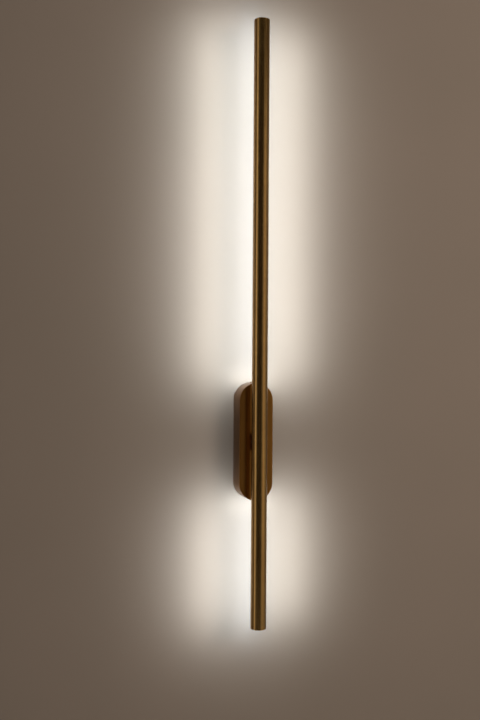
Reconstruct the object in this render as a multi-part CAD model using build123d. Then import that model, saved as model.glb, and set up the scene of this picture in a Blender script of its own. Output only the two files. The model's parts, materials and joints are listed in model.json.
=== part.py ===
from build123d import *
import math
import os

# Tube wall light: a slim brass-finished tube that turns on a stem in front of a wall canopy.
# Millimetres. The wall is the plane Y = 0 and the light stands out towards -Y, +Z is up and +X is
# to the right of someone facing the wall. "Stand-off" (s) is the distance in front of the wall.
# The origin is on the swivel axis where it meets the wall.

# ---- driving dimensions ----
TUBE_LENGTH = 1000.0
TUBE_BELOW = 305.0           # tube length below the swivel axis
TUBE_R = 13.0
TUBE_WALL = 1.2
TUBE_AXIS_S = 52.0           # stand-off of the tube's centre line

CANOPY_WIDTH = 58.0
CANOPY_HEIGHT = 196.0
CANOPY_DEPTH = 36.0
CANOPY_WALL = 1.2
CANOPY_FRONT = 1.5
CANOPY_EDGE = 0.8             # eased edge round the cover's front

PLATE_T = 1.5
PLATE_GAP = 0.8              # between the plate's edge and the inside of the cover
SLOT_SPACING = 112.0         # between the two wall-screw slots
SLOT_LENGTH = 12.0
SLOT_R = 2.5

# ---- worked-out sizes ----
TUBE_TOP = TUBE_LENGTH - TUBE_BELOW
TUBE_BOTTOM = -TUBE_BELOW
TUBE_INNER_R = TUBE_R - TUBE_WALL
COVER_INSIDE_S = CANOPY_DEPTH - CANOPY_FRONT
COVER_INNER_W = CANOPY_WIDTH - 2 * CANOPY_WALL
COVER_INNER_H = CANOPY_HEIGHT - 2 * CANOPY_WALL
TUBE_BACK_S = TUBE_AXIS_S - TUBE_R

# ---- cover fixing ----
TAB_WIDTH = 12.0
TAB_REACH = 12.0
TAB_OUTER_Z = 95.7
COVER_SCREW_S = 8.0
COVER_SCREW_R = 1.5
COVER_HEAD_R = 2.75
COVER_HEAD_H = 1.4

# ---- cable entry and terminals ----
GROMMET_Z = -74.0
GROMMET_HOLE_R = 7.0
GROMMET_BORE_R = 4.5
GROMMET_FLANGE_R = 9.0
GROMMET_LENGTH = 3.5
BLOCK_LOW_Z = -48.0
BLOCK_TOP_Z = -32.0
BLOCK_MID_Z = (BLOCK_LOW_Z + BLOCK_TOP_Z) / 2
BLOCK_WIDTH = 28.0
BLOCK_HEIGHT = 14.0
BLOCK_PAD = 5.0              # thickness of the block under its fixing screws
POLE_PITCH = 9.0
POLE_S = 6.0
INSERT_SIZE = 5.0
INSERT_WAY_WIDTH = 3.2
INSERT_WAY_HEIGHT = 2.8
CLAMP_SCREW_R = 1.4
CLAMP_SCREW_LENGTH = 4.5
CLAMP_SCREW_Z = 4.0          # from the block's middle to each row of clamp screws
FIXING_SCREW_R = 1.45
EARTH_Z = -16.0

# ---- driver ----
DRIVER_WIDTH = 36.0
DRIVER_LOW_Z = 17.0
DRIVER_TOP_Z = 77.0
DRIVER_BACK_S = 11.5
DRIVER_FRONT_S = 33.5
DRIVER_WALL = 1.5
BOARD_T = 1.6

# ---- leads ----
LEAD_R = 1.1
LEAD_SIDES = 6
FLEX_SIDES = 8
FLEX_R = 1.8
FLEX_EXIT_S = 15.0
FLEX_BEND_R = 7.5            # the most that the room behind the stem allows
FLEX_END_S = 44.0
DRIVER_LEAD_X = 6.5
DRIVER_LEAD_S = 22.0

# ---- swivel ----
STEM_R = 5.0
STEM_BORE_R = 3.5
STEM_BACK_S = 24.0
STEM_FRONT_S = 46.8
BUSH_HOLE_R = 7.0
RUNNING_CLEARANCE = 0.05
BUSH_FLANGE_R = 9.0
BUSH_FLANGE_T = 1.0
WASHER_T = 1.0
WASHER_R = 10.0
STOP_RADIUS = 12.0           # from the swivel axis to the stop pin
STOP_PIN_R = 1.5
STOP_WASHER_T = 1.2
SPRING_T = 0.5
SPRING_HEIGHT = 1.4
SPRING_R = 8.8
NUT_ACROSS_FLATS = 14.0
NUT_T = 3.0

# ---- inside the tube, measured from its centre line towards the wall ----
SLOT_HALF_ANGLE = 42.0       # half of the lit opening in the tube's back
WEB_LOW = 0.5
WEB_HIGH = 2.0
LED_BOARD_WIDTH = 10.0
LED_BOARD_T = 1.2
LED_PITCH = 16.6
LED_X = 3.5
LED_Z = 2.8
LED_HEIGHT = 0.8
BOARD_START = 16.0           # each board starts this far from the swivel axis
BOARD_END_GAP = 5.0
DIFFUSER_T = 1.4
DIFFUSER_GAP = 0.5           # degrees of play at each edge of the slot
CAP_T = 2.4
CAP_SPIGOT = 8.0
PIVOT_HALF = 14.0            # half length of the pivot block along the tube
PIVOT_SCREW_Z = 10.0
PIVOT_SHANK_R = 1.5
PIVOT_HEAD_R = 2.8
PIVOT_HEAD_SINK = 0.5        # from the tube's back to the screw head
PIVOT_HEAD_H = 1.6
WIRE_WAY_HALF = 5.5
WIRE_WAY_DEPTH = 5.2
CORE_R = 0.6
CORE_S = 48.2

EPS = 0.05                   # small clearance between pieces that push or thread together


# ---- helpers ----
def facing(s):
    """Plane parallel to the wall at stand-off s, with local x = X, local y = Z, normal into the room."""
    return Plane.XZ.offset(s)


def disc(radius, s_from, s_to, x=0.0, z=0.0):
    """Round bar whose axis leaves the wall at right angles."""
    return extrude(facing(s_from) * Pos(x, z) * Circle(radius), s_to - s_from)


def ring(outer, inner, s_from, s_to, x=0.0, z=0.0):
    """Washer-like ring whose axis leaves the wall at right angles."""
    return extrude(facing(s_from) * Pos(x, z) * (Circle(outer) - Circle(inner)), s_to - s_from)


def stadium(width, height):
    """Upright outline with fully round ends."""
    return SlotOverall(height, width, rotation=90)


def box(x_from, x_to, s_from, s_to, z_from, z_to):
    """Box between two X, two stand-offs and two heights."""
    centre = Pos((x_from + x_to) / 2, -(s_from + s_to) / 2, (z_from + z_to) / 2)
    return centre * Box(x_to - x_from, s_to - s_from, z_to - z_from)


def upright_rod(radius, x, s, z_from, z_to):
    """Round bar standing along Z."""
    return Pos(x, -s, (z_from + z_to) / 2) * Cylinder(radius, z_to - z_from)


def headed_screw(x, z, head_s, head_r, head_h, shank_r, tip_s):
    """Cheese-head screw driven towards the wall, its head seated at stand-off head_s."""
    return disc(head_r, head_s, head_s + head_h, x, z) + disc(shank_r, tip_s, head_s, x, z)


def bend_radii(points):
    """Radius at each inner point: 0.45 of the shorter run over the tangent of half the turn."""
    radii = []
    for before, corner, after in zip(points, points[1:], points[2:]):
        run_in = Vector(*corner) - Vector(*before)
        run_out = Vector(*after) - Vector(*corner)
        half_turn = math.radians(run_in.get_angle(run_out) / 2)
        radii.append(0.45 * min(run_in.length, run_out.length) / math.tan(half_turn))
    return radii


def lead(name, route, radius, radii=None, sides=LEAD_SIDES):
    """Lead along (x, stand-off, z) points, straight runs joined by tangent arcs.

    The section is a polygon inside the round lead, so that hidden wires take few faces.
    """
    points = [(x, -s, z) for x, s, z in route]
    radii = radii or bend_radii(points)
    path = FilletPolyline(*points, radius=radii)
    start = Plane(origin=path @ 0, z_dir=path % 0)
    tube = sweep(start * RegularPolygon(radius, sides), path=path)
    section = sides / 2 * radius ** 2 * math.sin(2 * math.pi / sides)
    expected = section * path.length
    shown = ", ".join(f"{r:.1f}" for r in radii)
    print(f"{name}: length {path.length:.1f}, radii {shown}, volume ratio {tube.volume / expected:.4f}")
    return tube


def tube_plane(z):
    """Plane across the tube: origin on its centre line, local y towards the wall, normal +Z."""
    return Plane.XY.offset(z) * Pos(0, -TUBE_AXIS_S)


def sector(radius, half_angle):
    """Pie slice about the tube's centre line, opening towards the wall."""
    reach = 2 * radius
    side = reach * math.sin(math.radians(half_angle))
    rise = reach * math.cos(math.radians(half_angle))
    return Circle(radius) & Polygon((0, 0), (side, rise), (-side, rise), align=None)


# ---- fixed to the wall ----
def mounting_plate():
    """Steel plate with wall-screw slots, a cable hole, tapped holes and a bent tab at each end."""
    width = COVER_INNER_W - 2 * PLATE_GAP
    height = COVER_INNER_H - 2 * PLATE_GAP
    outline = stadium(width, height) & Rectangle(width, 2 * TAB_OUTER_Z)
    for end in (1, -1):
        outline -= Pos(0, end * SLOT_SPACING / 2) * SlotOverall(SLOT_LENGTH, 2 * SLOT_R, rotation=90)
    outline -= Pos(0, GROMMET_Z) * Circle(GROMMET_HOLE_R)
    outline -= Pos(0, EARTH_Z) * Circle(FIXING_SCREW_R + EPS)
    for side in (1, -1):
        outline -= Pos(side * POLE_PITCH / 2, BLOCK_MID_Z) * Circle(FIXING_SCREW_R + EPS)
    plate = extrude(facing(0) * outline, PLATE_T)
    for end in (1, -1):
        shoulder = Pos(0, end * (TAB_OUTER_Z + 5)) * Rectangle(width, 10 + 2 * PLATE_T)
        plate -= extrude(facing(0) * shoulder, PLATE_T)
        tab = box(-TAB_WIDTH / 2, TAB_WIDTH / 2, 0, TAB_REACH, TAB_OUTER_Z - PLATE_T, TAB_OUTER_Z)
        tab = chamfer(tab.edges().filter_by(Axis.Z).group_by(Axis.Y)[0], 3.0)
        tab -= upright_rod(COVER_SCREW_R + EPS, 0, COVER_SCREW_S, TAB_OUTER_Z - 5, TAB_OUTER_Z + 5)
        plate += tab if end > 0 else mirror(tab, Plane.XY)
    return plate


def canopy_cover():
    """Drawn shell with round ends, open at the wall, with the stem hole and two end screw holes."""
    shell = extrude(facing(0) * stadium(CANOPY_WIDTH, CANOPY_HEIGHT), CANOPY_DEPTH)
    front = shell.faces().sort_by(Axis.Y)[0]
    shell = chamfer(front.edges(), CANOPY_EDGE)
    shell -= extrude(facing(0) * stadium(COVER_INNER_W, COVER_INNER_H), COVER_INSIDE_S)
    shell -= disc(BUSH_HOLE_R, COVER_INSIDE_S, CANOPY_DEPTH)
    half = CANOPY_HEIGHT / 2
    for end in (1, -1):
        shell -= upright_rod(COVER_SCREW_R + 0.2, 0, COVER_SCREW_S, end * half - 5, end * half + 5)
    return shell


def canopy_screws():
    """Two low button-head screws that hold the cover to the plate's tabs."""
    top = CANOPY_HEIGHT / 2
    head = upright_rod(COVER_HEAD_R, 0, COVER_SCREW_S, top, top + COVER_HEAD_H)
    head = chamfer(head.faces().sort_by(Axis.Z)[-1].edges(), COVER_HEAD_H * 0.5)
    screw = head + upright_rod(COVER_SCREW_R, 0, COVER_SCREW_S, TAB_OUTER_Z - PLATE_T - 2, top)
    return Compound(children=[screw, mirror(screw, Plane.XY)])


def cable_grommet():
    """Snap-in rubber bush that lines the plate's cable hole."""
    flange = ring(GROMMET_FLANGE_R, GROMMET_BORE_R, PLATE_T, GROMMET_LENGTH, z=GROMMET_Z)
    flange = chamfer(flange.edges().sort_by(Axis.Y)[0:2].sort_by(SortBy.LENGTH)[-1], 0.6)
    return flange + ring(GROMMET_HOLE_R - EPS, GROMMET_BORE_R, 0, PLATE_T, z=GROMMET_Z)


def pole_positions():
    """X of the live, earth and neutral poles."""
    return (-POLE_PITCH, 0.0, POLE_PITCH)


def terminal_block():
    """Three-pole block: square ways for the inserts, screw wells and two fixing holes."""
    front = PLATE_T + BLOCK_HEIGHT
    half = BLOCK_WIDTH / 2
    block = box(-half, half, PLATE_T, front, BLOCK_LOW_Z, BLOCK_TOP_Z)
    block = chamfer(block.faces().sort_by(Axis.Y)[0].edges(), 1.2)
    way = INSERT_SIZE / 2 + EPS
    for x in pole_positions():
        block -= box(x - way, x + way, POLE_S - way, POLE_S + way, BLOCK_LOW_Z, BLOCK_TOP_Z)
        for z in clamp_rows():
            block -= disc(CLAMP_SCREW_R + 0.3, POLE_S, front, x, z)
    for side in (1, -1):
        x = side * POLE_PITCH / 2
        # between two poles the block is cut down to a pad that the fixing screw's head clamps
        block -= box(x - 1.8, x + 1.8, PLATE_T + BLOCK_PAD, front, BLOCK_LOW_Z, BLOCK_TOP_Z)
        block -= disc(FIXING_SCREW_R + 0.2, PLATE_T, PLATE_T + BLOCK_PAD, x, BLOCK_MID_Z)
    return block


def clamp_rows():
    """Z of the supply-side and the driver-side clamp screws."""
    return (BLOCK_MID_Z - CLAMP_SCREW_Z, BLOCK_MID_Z + CLAMP_SCREW_Z)


def terminal_inserts():
    """Three brass cages, open along Z for the wires and tapped for two clamp screws."""
    half = INSERT_SIZE / 2
    way = INSERT_WAY_WIDTH / 2
    rise = INSERT_WAY_HEIGHT / 2
    inserts = []
    for x in pole_positions():
        cage = box(x - half, x + half, POLE_S - half, POLE_S + half, BLOCK_LOW_Z + 1, BLOCK_TOP_Z - 1)
        cage -= box(x - way, x + way, POLE_S - rise, POLE_S + rise, BLOCK_LOW_Z, BLOCK_TOP_Z)
        for z in clamp_rows():
            cage -= disc(CLAMP_SCREW_R + EPS, POLE_S, POLE_S + half, x, z)
        inserts.append(cage)
    return Compound(children=inserts)


def terminal_screws():
    """Six clamp screws in the terminal block's wells, their feet on the leads."""
    foot = POLE_S + LEAD_R
    return Compound(children=[
        disc(CLAMP_SCREW_R, foot, foot + CLAMP_SCREW_LENGTH, x, z)
        for x in pole_positions()
        for z in clamp_rows()
    ])


def block_screws():
    """Two screws that hold the terminal block to the plate."""
    seat = PLATE_T + BLOCK_PAD
    return Compound(children=[
        headed_screw(side * POLE_PITCH / 2, BLOCK_MID_Z, seat, 1.7, 1.4, FIXING_SCREW_R, 0)
        for side in (1, -1)
    ])


def earth_ring():
    """Crimped ring tag under the earth screw, its barrel pointing down to the terminal block."""
    tag = ring(3.4, 1.7, PLATE_T, PLATE_T + 0.8, z=EARTH_Z)
    neck = box(-1.5, 1.5, PLATE_T, PLATE_T + 0.8, EARTH_Z - 5.5, EARTH_Z - 2.8)
    barrel_s = PLATE_T + 1.7
    barrel = upright_rod(1.7, 0, barrel_s, EARTH_Z - 9, EARTH_Z - 4.5)
    bore = upright_rod(LEAD_R, 0, barrel_s, EARTH_Z - 9, EARTH_Z - 4.5)
    return tag + neck + barrel - bore


def earth_screw():
    """Screw that clamps the earth ring to the plate."""
    return headed_screw(0, EARTH_Z, PLATE_T + 0.8, 2.8, 2.0, FIXING_SCREW_R, 0)


def earth_lead():
    """Short lead from the earth pole to the ring tag."""
    barrel_s = PLATE_T + 1.7
    route = [
        (0, POLE_S, BLOCK_TOP_Z - 6),
        (0, POLE_S, BLOCK_TOP_Z + 0.5),
        (0, barrel_s, EARTH_Z - 11.6),
        (0, barrel_s, EARTH_Z - 4.5),
    ]
    return lead("earth_lead", route, LEAD_R)


def supply_lead(side):
    """Lead from a pole of the terminal block, up beside the driver and over into its top end."""
    start_z = BLOCK_TOP_Z - 6
    outer_x = side * 22.5
    top_z = DRIVER_TOP_Z + 11
    route = [
        (side * POLE_PITCH, POLE_S, start_z),
        (side * POLE_PITCH, POLE_S, start_z + 14),
        (outer_x, 12, -4),
        (side * 23.2, 16, 42),
        (outer_x, DRIVER_LEAD_S, top_z),
        (side * DRIVER_LEAD_X, DRIVER_LEAD_S, top_z),
        (side * DRIVER_LEAD_X, DRIVER_LEAD_S, DRIVER_TOP_Z - 4),
    ]
    return lead("input lead", route, LEAD_R)


def driver_case():
    """Moulded tray open towards the wall, with a hole for each lead and the flex."""
    half = DRIVER_WIDTH / 2
    lid_s = DRIVER_BACK_S + DRIVER_WALL
    case = box(-half, half, lid_s, DRIVER_FRONT_S, DRIVER_LOW_Z, DRIVER_TOP_Z)
    case = fillet(case.edges().filter_by(Axis.Y), 2.5)
    wall = DRIVER_WALL
    case -= box(-half + wall, half - wall, lid_s, DRIVER_FRONT_S - wall,
                DRIVER_LOW_Z + wall, DRIVER_TOP_Z - wall)
    case -= upright_rod(FLEX_R + EPS, 0, FLEX_EXIT_S, DRIVER_LOW_Z - 1, DRIVER_LOW_Z + wall + 1)
    for side in (1, -1):
        case -= upright_rod(LEAD_R + EPS, side * DRIVER_LEAD_X, DRIVER_LEAD_S,
                            DRIVER_TOP_Z - wall - 1, DRIVER_TOP_Z + 1)
    return case


def driver_lid():
    """Snap-on lid with a shallow lip inside the tray."""
    half = DRIVER_WIDTH / 2
    lip = DRIVER_WALL + EPS
    lid_s = DRIVER_BACK_S + DRIVER_WALL
    lid = box(-half, half, DRIVER_BACK_S, lid_s, DRIVER_LOW_Z, DRIVER_TOP_Z)
    lid = fillet(lid.edges().filter_by(Axis.Y), 2.5)
    rim = box(-half + lip, half - lip, lid_s, lid_s + 1.6, DRIVER_LOW_Z + lip + 6, DRIVER_TOP_Z - lip)
    rim -= box(-half + 3, half - 3, lid_s, lid_s + 1.6, DRIVER_LOW_Z + 9, DRIVER_TOP_Z - 3)
    return lid + rim


def driver_board():
    """Printed board lying on the floor of the driver's tray."""
    floor = DRIVER_FRONT_S - DRIVER_WALL
    return box(-15.5, 15.5, floor - BOARD_T, floor, DRIVER_LOW_Z + 3, DRIVER_TOP_Z - 3)


def driver_transformer():
    """Transformer: a ferrite core closed round a wound bobbin that stands out above and below it."""
    base = DRIVER_FRONT_S - DRIVER_WALL - BOARD_T
    core = box(-9, 9, base - 12, base, 46, 55)
    winding = box(-7, 7, base - 10.5, base - 1.5, 42, 59)
    return core + fillet(winding.edges().filter_by(Axis.Z), 2.0)


def driver_capacitors():
    """Input and output capacitors standing on the driver board."""
    base = DRIVER_FRONT_S - DRIVER_WALL - BOARD_T
    mains = disc(5.0, base - 12, base, 9.5, 65)
    output = disc(4.0, base - 11, base, -9.5, 31)
    return Compound(children=[mains, output])


def driver_tape():
    """Foam tape that holds the driver to the inside of the cover."""
    return box(-14, 14, DRIVER_FRONT_S, COVER_INSIDE_S, DRIVER_LOW_Z + 6, DRIVER_TOP_Z - 6)


def output_flex():
    """Flex out of the driver, round one bend and along the swivel axis through the stem."""
    route = [
        (0, FLEX_EXIT_S, DRIVER_LOW_Z + 3),
        (0, FLEX_EXIT_S, 0),
        (0, FLEX_END_S, 0),
    ]
    return lead("output_flex", route, FLEX_R, [FLEX_BEND_R], FLEX_SIDES)


def swivel_bush():
    """Nylon bush in the cover's front, with a flange that the collar turns against."""
    bore = STEM_R + RUNNING_CLEARANCE
    flange = ring(BUSH_FLANGE_R, bore, CANOPY_DEPTH, CANOPY_DEPTH + BUSH_FLANGE_T)
    return flange + ring(BUSH_HOLE_R - EPS, bore, COVER_INSIDE_S, CANOPY_DEPTH)


def friction_washer():
    """Fibre washer between the cover and the stop washer."""
    return ring(WASHER_R, STEM_R + 0.1, COVER_INSIDE_S - WASHER_T, COVER_INSIDE_S)


def stop_pin():
    """Welded pin inside the cover that the stop washer's tab comes up against."""
    back = COVER_INSIDE_S - WASHER_T - STOP_WASHER_T - 0.8
    pin = disc(STOP_PIN_R, back, COVER_INSIDE_S, z=STOP_RADIUS)
    return chamfer(pin.faces().sort_by(Axis.Y)[-1].edges(), 0.3)


# ---- turning with the tube ----
def swivel_stem():
    """Hollow threaded stem that the tube turns on, open along its axis for the flex."""
    return ring(STEM_R, STEM_BORE_R, STEM_BACK_S, STEM_FRONT_S)


def stop_washer():
    """Steel washer with a tab that limits the turn, opposite the stop pin at rest."""
    front = COVER_INSIDE_S - WASHER_T - EPS
    back = front - STOP_WASHER_T
    reach = STOP_RADIUS + 1.5
    outline = Circle(WASHER_R - 0.5) + Pos(0, -reach / 2) * Rectangle(2 * STOP_PIN_R, reach)
    outline -= Circle(STEM_R)
    return extrude(facing(back) * outline, STOP_WASHER_T)


def disc_spring():
    """Conical spring washer that keeps the friction steady."""
    front = COVER_INSIDE_S - WASHER_T - EPS - STOP_WASHER_T
    inner = STEM_R + 0.1
    rise = SPRING_HEIGHT - SPRING_T
    section = Polygon((inner, front - SPRING_HEIGHT), (inner, front - rise), (SPRING_R, front),
                      (SPRING_R, front - SPRING_T), align=None)
    turned = revolve(Plane.XY * section, Axis.Y)
    return mirror(turned, Plane.XZ)


def lock_nut(order):
    """Thin hexagon nut on the stem; order 0 bears on the spring and order 1 locks it."""
    spring_back = COVER_INSIDE_S - WASHER_T - EPS - STOP_WASHER_T - SPRING_HEIGHT
    back = spring_back - (order + 1) * NUT_T
    hexagon = RegularPolygon(NUT_ACROSS_FLATS / 2, 6, major_radius=False)
    return extrude(facing(back) * (hexagon - Circle(STEM_R)), NUT_T)


def stem_end_bush():
    """Plastic bush that keeps the flex off the stem's sharp end."""
    flange = ring(STEM_R - 0.3, FLEX_R + 0.3, STEM_BACK_S - 1, STEM_BACK_S)
    return flange + ring(STEM_BORE_R - EPS, FLEX_R + 0.3, STEM_BACK_S, STEM_BACK_S + 3)


def spacer_collar():
    """Ring between the bush and the tube, hollowed to sit on the tube's round back."""
    front = CANOPY_DEPTH + BUSH_FLANGE_T + RUNNING_CLEARANCE
    collar = ring(BUSH_FLANGE_R, STEM_R, front, TUBE_AXIS_S - 6)
    tube = Pos(0, -TUBE_AXIS_S, 0) * Cylinder(TUBE_R + 0.02, 60)
    return collar - tube


def pivot_block():
    """Block that fills the tube's slot at the swivel: tapped for the stem, with a way for the wires."""
    inside = Circle(TUBE_INNER_R - 0.1) & Pos(0, TUBE_R) * Rectangle(2 * TUBE_R, 2 * (TUBE_R - WEB_HIGH))
    plug = sector(TUBE_R, SLOT_HALF_ANGLE - DIFFUSER_GAP)
    plug &= Pos(0, TUBE_R) * Rectangle(2 * TUBE_R, 2 * (TUBE_R - WEB_HIGH))
    block = extrude(tube_plane(-PIVOT_HALF) * (inside + plug), 2 * PIVOT_HALF)
    block -= disc(STEM_R, TUBE_BACK_S, TUBE_AXIS_S)
    floor_s = TUBE_AXIS_S - WIRE_WAY_DEPTH
    block -= box(-WIRE_WAY_HALF, WIRE_WAY_HALF, floor_s, TUBE_AXIS_S, -PIVOT_HALF, PIVOT_HALF)
    head_base = TUBE_BACK_S + PIVOT_HEAD_SINK + PIVOT_HEAD_H
    for z in (PIVOT_SCREW_Z, -PIVOT_SCREW_Z):
        block -= disc(PIVOT_SHANK_R + 0.1, TUBE_BACK_S, TUBE_AXIS_S, z=z)
        block -= disc(PIVOT_HEAD_R + EPS, TUBE_BACK_S - 1, head_base, z=z)
    return block


def pivot_screws():
    """Two screws sunk in the block, through it into the tube's web."""
    seat = TUBE_BACK_S + PIVOT_HEAD_SINK + PIVOT_HEAD_H
    tip = TUBE_AXIS_S - WEB_LOW
    return Compound(children=[
        disc(PIVOT_HEAD_R, seat - PIVOT_HEAD_H, seat, z=z) + disc(PIVOT_SHANK_R, seat, tip, z=z)
        for z in (PIVOT_SCREW_Z, -PIVOT_SCREW_Z)
    ])


def tube_profile():
    """Extrusion: round wall, flat web for the LED boards, and the slot for the diffuser."""
    wall = Circle(TUBE_R) - Circle(TUBE_INNER_R)
    web = Pos(0, (WEB_LOW + WEB_HIGH) / 2) * Rectangle(2 * TUBE_INNER_R + 0.4, WEB_HIGH - WEB_LOW)
    web &= Circle(TUBE_R - 0.3)
    return wall - sector(TUBE_R + 1, SLOT_HALF_ANGLE) + web


def tube_shell():
    """Full-length extrusion between the two end caps."""
    shell = extrude(tube_plane(TUBE_BOTTOM + CAP_T) * tube_profile(), TUBE_LENGTH - 2 * CAP_T)
    for z in (PIVOT_SCREW_Z, -PIVOT_SCREW_Z):
        shell -= disc(PIVOT_SHANK_R, TUBE_AXIS_S - WEB_HIGH, TUBE_AXIS_S - WEB_LOW, z=z)
    return shell


def end_cap():
    """Flat disc with an eased rim, on a half-moon spigot that pushes in front of the web."""
    disc_part = extrude(tube_plane(TUBE_TOP - CAP_T) * Circle(TUBE_R), CAP_T)
    disc_part = chamfer(disc_part.faces().sort_by(Axis.Z)[-1].edges(), 0.4)
    below_web = Pos(0, -TUBE_R) * Rectangle(2 * TUBE_R, 2 * (TUBE_R + WEB_LOW - EPS))
    half_moon = Circle(TUBE_INNER_R - EPS) & below_web
    return disc_part + extrude(tube_plane(TUBE_TOP - CAP_T - CAP_SPIGOT) * half_moon, CAP_SPIGOT)


def end_cap_bottom():
    """The same cap turned over at the tube's lower end."""
    shift = TUBE_BOTTOM + TUBE_TOP
    return Pos(0, 0, shift) * mirror(end_cap(), Plane.XY)


def diffuser_profile():
    """Opal arc flush with the tube, with a barbed leg at each edge that snaps under the slot."""
    half = SLOT_HALF_ANGLE - DIFFUSER_GAP
    profile = sector(TUBE_R, half) - Circle(TUBE_R - DIFFUSER_T)
    leg = [(6.7, 6.2), (7.6, 6.4), (8.4, 7.8), (7.6, 8.3), (7.6, 9.4), (6.7, 9.4)]
    for side in (1, -1):
        profile += Polygon(*[(side * across, rise) for across, rise in leg][::side], align=None)
    return profile


def diffuser(z_from, z_to):
    """Length of diffuser between the pivot block and an end cap."""
    return extrude(tube_plane(z_from) * diffuser_profile(), z_to - z_from)


def board_span(upper):
    """Lowest and highest Z of an LED board."""
    if upper:
        return BOARD_START, TUBE_TOP - CAP_T - BOARD_END_GAP
    return TUBE_BOTTOM + CAP_T + BOARD_END_GAP, -BOARD_START


def led_board(upper):
    """Aluminium-backed board lying on the web's wall side."""
    low, high = board_span(upper)
    half = LED_BOARD_WIDTH / 2
    base = TUBE_AXIS_S - WEB_HIGH
    return box(-half, half, base - LED_BOARD_T, base, low, high)


def leds(upper):
    """One chip every LED_PITCH along a board, facing the wall."""
    low, high = board_span(upper)
    base = TUBE_AXIS_S - WEB_HIGH - LED_BOARD_T
    first_gap = 8.0
    count = int((high - low - first_gap - LED_Z) // LED_PITCH) + 1
    chips = []
    for i in range(count):
        away = first_gap + i * LED_PITCH
        z = low + away if upper else high - away
        chips.append(box(-LED_X / 2, LED_X / 2, base - LED_HEIGHT, base, z - LED_Z / 2, z + LED_Z / 2))
    return Compound(children=chips)


def board_leads():
    """Two cores from the end of the flex, through the block's wire way to the upper board."""
    cores = []
    for side in (1, -1):
        route = [
            (side * 0.9, FLEX_END_S, 0),
            (side * 0.9, CORE_S, 0),
            (side * 2.6, CORE_S, 9),
            (side * 2.6, CORE_S, BOARD_START + 3),
        ]
        cores.append(lead("board lead", route, CORE_R, [2.5, 20.0]))
    return Compound(children=cores)


def board_jumpers():
    """Two straight cores that carry the supply on to the lower board."""
    reach = BOARD_START + 3
    return Compound(children=[
        upright_rod(CORE_R, side * 4.3, CORE_S, -reach, reach) for side in (1, -1)
    ])


PARTS = {
    "mounting_plate": mounting_plate,
    "canopy_cover": canopy_cover,
    "canopy_screws": canopy_screws,
    "cable_grommet": cable_grommet,
    "terminal_block": terminal_block,
    "terminal_inserts": terminal_inserts,
    "terminal_screws": terminal_screws,
    "block_screws": block_screws,
    "earth_ring": earth_ring,
    "earth_screw": earth_screw,
    "earth_lead": earth_lead,
    "input_lead_live": lambda: supply_lead(-1),
    "input_lead_neutral": lambda: supply_lead(1),
    "driver_case": driver_case,
    "driver_lid": driver_lid,
    "driver_board": driver_board,
    "driver_transformer": driver_transformer,
    "driver_capacitors": driver_capacitors,
    "driver_tape": driver_tape,
    "output_flex": output_flex,
    "swivel_bush": swivel_bush,
    "friction_washer": friction_washer,
    "stop_pin": stop_pin,
    "swivel_stem": swivel_stem,
    "stop_washer": stop_washer,
    "disc_spring": disc_spring,
    "lock_nut_inner": lambda: lock_nut(0),
    "lock_nut_outer": lambda: lock_nut(1),
    "stem_end_bush": stem_end_bush,
    "spacer_collar": spacer_collar,
    "pivot_block": pivot_block,
    "pivot_screws": pivot_screws,
    "tube_shell": tube_shell,
    "end_cap_top": end_cap,
    "end_cap_bottom": end_cap_bottom,
    "diffuser_upper": lambda: diffuser(PIVOT_HALF + EPS, TUBE_TOP - CAP_T),
    "diffuser_lower": lambda: diffuser(TUBE_BOTTOM + CAP_T, -PIVOT_HALF - EPS),
    "led_board_upper": lambda: led_board(True),
    "led_board_lower": lambda: led_board(False),
    "leds_upper": lambda: leds(True),
    "leds_lower": lambda: leds(False),
    "board_leads": board_leads,
    "board_jumpers": board_jumpers,
}

os.makedirs("parts", exist_ok=True)
for name, make in PARTS.items():
    export_step(make(), f"parts/{name}.step")
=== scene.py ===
# %% [markdown]
# # A tube wall light in brushed brass
#
# The light is a slim upright tube that glows towards the wall. It turns on a stem in front of a
# deep box with round ends, the wall canopy. The measured model gives every place and size. This
# file gives the skin: smooth shells for what the eye sees, and a finish for every piece.
#
# All sizes are metres. The wall is the plane y = 0, the room is on the -y side and z is up.

import json
import math

import bmesh
import bpy
import numpy as np
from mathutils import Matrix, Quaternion, Vector

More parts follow.
